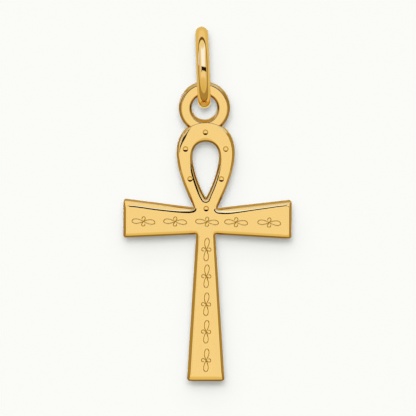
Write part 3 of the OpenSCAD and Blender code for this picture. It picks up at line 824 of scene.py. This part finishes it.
def ring_mesh():
    """The jump ring: a circle of wire carried round a circle that leans, and how near its foot a point is."""
    t = np.linspace(0, 2 * np.pi, RING_POINTS + 1)[:-1]
    s = np.linspace(0, 2 * np.pi, WIRE_POINTS + 1)[:-1]
    mid, wire = (RING_OD - RING_WIRE) / 2, RING_WIRE / 2
    out = mid + wire * np.cos(s)[:, None]
    x = wire * np.sin(s)[:, None] + 0 * t
    y, z = out * np.sin(t), out * np.cos(t) - ring_id / 2
    c, k = math.cos(rad(RING_LEAN)), math.sin(rad(RING_LEAN))
    p = np.stack([x * c - z * k, y, x * k + z * c], -1).reshape(-1, 3)
    foot = np.clip((-np.cos(t) - FOOT_FROM) / FOOT_EASE, 0, 1) + 0 * s[:, None]
    return p, [grid_quads(len(s), len(t), closed_rows=True, closed_columns=True)], foot.reshape(-1)


# Shader maths
class Wire:
    """A shader socket that takes + - * and abs() with numbers and other sockets, each adding a Math node."""

    def __init__(self, kit, socket):
        self.kit, self.socket = kit, socket

    def _op(self, kind, *values):
        return self.kit.node("ShaderNodeMath", {"operation": kind}, *values)

    def __add__(self, o): return self._op("ADD", self, o)
    def __radd__(self, o): return self._op("ADD", o, self)
    def __sub__(self, o): return self._op("SUBTRACT", self, o)
    def __rsub__(self, o): return self._op("SUBTRACT", o, self)
    def __mul__(self, o): return self._op("MULTIPLY", self, o)
    def __rmul__(self, o): return self._op("MULTIPLY", o, self)
    def __abs__(self): return self._op("ABSOLUTE", self)


class Kit:
    """Adds nodes to one node tree."""

    def __init__(self, tree):
        self.tree = tree
        tree.nodes.clear()

    def node(self, kind, settings=(), *values, out=0, **named):
        """A node of a type with its settings, and its sockets' values or links, by order or by name."""
        n = self.tree.nodes.new(kind)
        for key, value in dict(settings).items():
            setattr(n, key, value)
        pairs = [(n.inputs[i], v) for i, v in enumerate(values)]
        pairs += [(n.inputs[k.replace("_", " ")], v) for k, v in named.items()]
        for socket, value in pairs:
            self.feed(socket, value)
        return Wire(self, n.outputs[out]) if len(n.outputs) else None

    def feed(self, socket, value):
        """Links a wire to a socket, or sets the socket's value."""
        if isinstance(value, Wire):
            self.tree.links.new(value.socket, socket)
        else:
            socket.default_value = value

    def ramp(self, x, low, high):
        """0 below low, 1 above high, smooth between; the other way round where low > high."""
        if low < high:
            smooth = {"interpolation_type": "SMOOTHSTEP"}
            return self.node("ShaderNodeMapRange", smooth, x, low, high, 0.0, 1.0)
        return 1.0 - self.ramp(x, high, low)

    def blend(self, factor, a, b):
        """Colour a where factor is 0 and b where it is 1."""
        n = self.tree.nodes.new("ShaderNodeMix")
        n.data_type = "RGBA"
        for socket, value in ((n.inputs[0], factor), (n.inputs[6], a), (n.inputs[7], b)):
            self.feed(socket, (*value, 1.0) if isinstance(value, tuple) else value)
        return Wire(self, n.outputs[2])


# The gold, and the finished pieces
FACE_GOLD = (0.965, 0.662, 0.236)
# Darker gold painted on the body's bevels, walls and back edges: painted shade in place of the dark brown
# reflections there
EDGE_SHADE_GOLD = (0.42, 0.235, 0.05)
# Darker gold painted in the engraved lines and round the dimples' rims: painted shade in these hollows
GROOVE_SHADE_GOLD = (0.485, 0.24, 0.006)
RING_GOLD = (0.93, 0.62, 0.23)
# Paler gold painted on the ring's foot: painted light in place of the paler reflection there
RING_FOOT_PAINTED_LIGHT = (0.97, 0.84, 0.57)
FACE_GRAZING, RING_GRAZING = (0.86, 0.58, 0.16, 1.0), (1.0, 0.9, 0.7, 1.0)   # their tints at grazing angles
FACE_ROUGH, RING_ROUGH = 0.07, 0.06
CLOUD_SCALE, FINE_SCALE, LINE_SCALE = 900.0, 9000.0, (700.0, 700.0, 9000.0)


def gold(name, colour, shading_colour, roughness, grazing):
    """Polished gold: a fine cloudy tone, faint polishing lines in its gloss, painted shade in its cuts, and
    painted shading by its painted_shading value.
    """
    material = bpy.data.materials.new(name)
    material.use_nodes = True
    kit = Kit(material.node_tree)
    place = kit.node("ShaderNodeTexCoord", out=3)
    cloud = kit.node("ShaderNodeTexNoise", {}, Vector=place, Scale=CLOUD_SCALE, Detail=3.0, Roughness=0.6)
    fine = kit.node("ShaderNodeTexNoise", {}, Vector=place, Scale=FINE_SCALE, Detail=2.0, Roughness=0.5)
    tone = kit.blend(cloud * 0.5 + fine * 0.2 - 0.15, colour, tuple(c * 0.93 for c in colour))
    # Painted shade in the cuts: the groove value blends towards the groove shade gold
    cut = kit.node("ShaderNodeAttribute", {"attribute_name": "groove"}, out=2)
    tone = kit.blend(kit.ramp(cut, 0.02, 0.6), tone, GROOVE_SHADE_GOLD)
    # Painted shading: the shading colour where painted_shading is 1, painted shade on the pendant's edges and
    # paler painted light on the ring's foot
    painted_shading = kit.node("ShaderNodeAttribute", {"attribute_name": "painted_shading"}, out=2)
    tone = kit.blend(painted_shading, tone, shading_colour)
    scratch = kit.node("ShaderNodeMapping", {}, Vector=place, Scale=LINE_SCALE)
    lines = kit.node("ShaderNodeTexNoise", {}, Vector=scratch, Scale=1.0, Detail=2.0, Roughness=0.5)
    bump = kit.node("ShaderNodeBump", {}, Strength=0.12, Distance=0.00001, Height=cloud * 0.7 + fine * 0.3)
    rough = roughness + (lines - 0.5) * 0.05 + kit.ramp(cut, 0.6, 0.9) * 0.3
    surface = kit.node("ShaderNodeBsdfPrincipled", {}, Base_Color=tone, Metallic=1.0, Roughness=rough,
                       Normal=bump, Specular_Tint=grazing)
    kit.node("ShaderNodeOutputMaterial", {}, Surface=surface)
    return material


def place_piece(name, mesh, material, body, node, normals=None):
    """A finished piece: its mesh and the two values of it, its gold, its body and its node."""
    points, faces, groove, painted_shading = mesh
    piece = make_mesh(name, points, faces, {"groove": groove, "painted_shading": painted_shading}, normals)
    piece.data.materials.append(material)
    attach(piece, body)
    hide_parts(node)


pendant_gold = gold("pendant_gold", FACE_GOLD, EDGE_SHADE_GOLD, FACE_ROUGH, FACE_GRAZING)
ring_gold = gold("ring_gold", RING_GOLD, RING_FOOT_PAINTED_LIGHT, RING_ROUGH, RING_GRAZING)
body_points, body_faces, body_normals, body_groove, body_painted_shading = body_mesh()
place_piece("ankh_body", (body_points, body_faces, body_groove, body_painted_shading), pendant_gold,
            "pendant", "ankh", body_normals)
hang_points, hang_faces, hang_painted_shading = hang_loop_mesh()
place_piece("hang_loop", (hang_points, hang_faces, np.zeros(len(hang_points)), hang_painted_shading), pendant_gold,
            "pendant", "ankh")
ring_points, ring_faces, ring_foot_share = ring_mesh()
# The ring's foot share sets its painted_shading, a paler painted light at its foot
place_piece("jump_ring_wire", (ring_points, ring_faces, np.zeros(len(ring_points)), ring_foot_share),
            ring_gold, "ring", "jump_ring")


# The camera
VIEW_UP = 8.0            # degrees that the camera stands above square to the face
FRAME_SIDE = 416
PIXELS_PER_MM = 13.16
PIVOT_AT = (204.4, 101.75)   # the pivot's place in the frame, in pixels from its upper left corner
CAMERA_FAR, SENSOR = 600.0, 36.0
axis = np.array([0, -math.cos(rad(VIEW_UP)), math.sin(rad(VIEW_UP))])
up = np.array([0, math.sin(rad(VIEW_UP)), math.cos(rad(VIEW_UP))])
across = np.array([1, 0, 0])
middle = np.array([PIVOT[0], 0, PIVOT[1]]) + across * (FRAME_SIDE / 2 - PIVOT_AT[0]) / PIXELS_PER_MM \
    - up * (FRAME_SIDE / 2 - PIVOT_AT[1]) / PIXELS_PER_MM
camera = bpy.data.objects.new("camera", bpy.data.cameras.new("camera"))
bpy.context.scene.collection.objects.link(camera)
camera.location = Vector((middle + axis * CAMERA_FAR) * MM)
camera.rotation_mode = "QUATERNION"
camera.rotation_quaternion = Vector(-axis).to_track_quat("-Z", "Y")
camera.data.sensor_width = SENSOR
camera.data.lens = SENSOR * CAMERA_FAR / (FRAME_SIDE / PIXELS_PER_MM)
camera.data.clip_start, camera.data.clip_end = 0.01, 20.0
bpy.context.scene.camera = camera


# The studio
FRONT_CARD, LOW_CARD, FLOOR_CARD = (0.975, 0.965, 0.955), (0.83, 0.745, 0.46), (0.76, 0.67, 0.37)
WING, PANEL, CEILING = (0.72, 0.66, 0.44), (0.93, 0.95, 1.0), (0.95, 0.95, 0.92)
HOT_PANEL, GLINT, STRIP_LIGHT = (1.05, 1.42, 2.9), (1.1, 1.3, 2.6), (1.1, 1.4, 2.8)
BLACK, BROWN, DARK_BROWN = (0.012, 0.011, 0.01), (0.44, 0.345, 0.15), (0.17, 0.125, 0.045)
BEHIND, BEHIND_TOP = (0.79, 0.73, 0.44), (0.93, 0.90, 0.75)


def studio_light():
    """What the gold mirrors: a pale tent by direction, fixed in the room, with cards laid one over another.

    ahead is how far a direction points at the lens, high how far it points up the frame, side how far right.
    A card's edges are pairs of values: where it is not yet seen, and where it is full.
    """
    world = bpy.data.worlds.new("studio")
    bpy.context.scene.world = world
    world.use_nodes = True
    kit = Kit(world.node_tree)
    d = kit.node("ShaderNodeTexCoord", out=0)
    ahead, high, side = (kit.node("ShaderNodeVectorMath", {"operation": "DOT_PRODUCT"}, d, way, out=1)
                         for way in (tuple(axis), tuple(up), (1.0, 0.0, 0.0)))

    def card(under, colour, *edges):
        """A card of a colour over what is under it: the product of its ramps is its share."""
        share = kit.ramp(*edges[0])
        for edge in edges[1:]:
            share = share * kit.ramp(*edge)
        return kit.blend(share, under, colour)

    light = card(FRONT_CARD, LOW_CARD, (high, -0.38, -0.58))
    light = card(light, FLOOR_CARD, (high, -0.6, -0.92))
    light = card(light, WING, (abs(side), 0.6, 0.82))
    light = card(light, PANEL, (high, 0.02, 0.05), (side, -0.78, -0.66), (side, 0.86, 0.76))
    light = card(light, HOT_PANEL, (high, 0.04, 0.08), (high, 0.9, 0.72), (side, -0.5, -0.3),
                 (side, 0.72, 0.5))
    light = card(light, CEILING, (high, 0.8, 0.95))
    # a black slot under the panel, deeper to the left, and a bright glint beside it
    slot_low = -0.165 - 0.085 * kit.ramp(side, -0.25, -0.4)
    light = card(light, BLACK, (high - slot_low, 0.0, 0.015), (high, 0.035, 0.02), (side, -0.47, -0.43),
                 (side, 0.9, 0.84), (ahead, 0.2, 0.3))
    light = card(light, GLINT, (high, -0.13, -0.1), (high, 0.02, -0.01), (side, -0.62, -0.58),
                 (side, -0.45, -0.48))
    # a brown band round the pendant's own plane, a strip of light to its left, and the room behind it
    far_end = -0.12 - 0.32 * kit.ramp(high, -0.3, -0.6)
    near_end = 0.23 - 0.1 * kit.ramp(high, 0.4, 0.7)
    light = card(light, card(BROWN, DARK_BROWN, (high, 0.6, 0.85)), (ahead - near_end, 0.0, -0.06),
                 (ahead - far_end, -0.05, 0.05))
    light = card(light, STRIP_LIGHT, (side, -0.82, -0.86), (ahead, 0.13, 0.15), (ahead, 0.38, 0.35),
                 (high, 0.02, 0.06))
    light = card(light, card(BEHIND, BEHIND_TOP, (high, 0.5, 0.9)), (ahead - far_end, 0.04, -0.06))
    shine = kit.node("ShaderNodeBackground", {}, Color=light, Strength=1.0)
    kit.node("ShaderNodeOutputWorld", {}, Surface=shine)


studio_light()

BACKDROP = (0.9560, 0.9473, 0.9131)      # pale warm white of the sweep
SWEEP_FLOOR, SWEEP_WALL, SWEEP_BEND = -300.0, 780.0, 250.0


def plain_light(name, colour, albedo=None):
    """A pale surface that glows evenly, and takes lamp light too where it has an albedo."""
    material = bpy.data.materials.new(name)
    material.use_nodes = True
    kit = Kit(material.node_tree)
    glow = kit.node("ShaderNodeEmission", {}, Color=(*colour, 1.0), Strength=1.0)
    if albedo:
        matt = kit.node("ShaderNodeBsdfDiffuse", {}, Color=(*albedo, 1.0))
        glow = kit.node("ShaderNodeAddShader", {}, glow, matt)
    kit.node("ShaderNodeOutputMaterial", {}, Surface=glow)
    return material


def seen_only(obj):
    """The camera sees this stage piece, and the gold doesn't mirror it."""
    for flag in ("visible_diffuse", "visible_glossy", "visible_transmission", "visible_volume_scatter",
                 "visible_shadow"):
        setattr(obj, flag, False)


def sweep():
    """The pale studio sweep: a floor that curves up into a round wall, and over as a dome."""
    floor, wall, bend = SWEEP_FLOOR, SWEEP_WALL, SWEEP_BEND
    t = np.linspace(0, 2 * np.pi, 97)[:-1]
    a = np.linspace(-np.pi / 2, np.pi / 2, 25)
    low, top = a[:13], a[13:]
    r = np.maximum(np.concatenate([[1.0], wall - bend + bend * np.cos(low), wall * np.cos(top)]), 1.0)
    z = np.concatenate([[floor], floor + bend + bend * np.sin(low), floor + bend + wall * np.sin(top)])
    x, y = r[:, None] * np.cos(t), r[:, None] * np.sin(t)
    p = np.stack([x, y, np.broadcast_to(z[:, None], x.shape)], -1).reshape(-1, 3)
    obj = make_mesh("studio_sweep", p, [grid_quads(len(r), len(t), closed_columns=True)])
    obj.data.materials.append(plain_light("sweep_white", BACKDROP))
    seen_only(obj)


sweep()

WALL_FAR, WALL_HALF = 760.0, 110.0
ALBEDO = 0.1
LAMPS = [  # right and up from the lens, radius, strength (share of the wall's light)
    (-0.10, 0.53, 0.48, 0.19),
    (-0.10, 0.53, 0.63, 0.16),
    (-0.05, 0.96, 0.77, 0.07),
    (-0.24, 1.06, 1.25, 0.14),
    (-0.38, 2.12, 3.1, 0.10),
]
WORLD_SHARE = (0.075, 0.075, 0.101)   # what the tent adds to the wall


def backdrop():
    """The wall that the lens sees behind the pendant.

    Small lamps beside the lens light it, so the pendant's soft shadow lies close round its outline.
    """
    centre = middle - axis * WALL_FAR
    corners = ((-1, -1), (1, -1), (1, 1), (-1, 1))
    p = np.stack([centre + WALL_HALF * (across * x + up * y) for x, y in corners])
    obj = make_mesh("studio_wall", p, [np.array([[0, 1, 2, 3]])])
    lamp_share = sum(lamp[3] for lamp in LAMPS)
    colour = tuple(c - lamp_share - w for c, w in zip(BACKDROP, WORLD_SHARE))
    obj.data.materials.append(plain_light("wall_white", colour, (ALBEDO,) * 3))
    seen_only(obj)
    group = bpy.data.collections.new("shadow_ground")
    group.objects.link(obj)
    lens_at = middle + axis * CAMERA_FAR
    for i, (right, high, radius, share) in enumerate(LAMPS):
        lamp = bpy.data.lights.new(f"lens_lamp_{i}", "POINT")
        lamp.shadow_soft_size = radius * MM
        far = (CAMERA_FAR + WALL_FAR) * MM
        lamp.energy = share / ALBEDO * (4 * math.pi * far ** 2) * math.pi
        obj_lamp = bpy.data.objects.new(f"lens_lamp_{i}", lamp)
        obj_lamp.location = Vector((lens_at + across * right + up * high) * MM)
        bpy.context.scene.collection.objects.link(obj_lamp)
        obj_lamp.light_linking.receiver_collection = group


backdrop()

scene = bpy.context.scene
scene.view_settings.view_transform = "Standard"
scene.view_settings.look = "None"
scene.cycles.use_denoising = True
scene.cycles.filter_width = 1.4   # a little crisper than usual
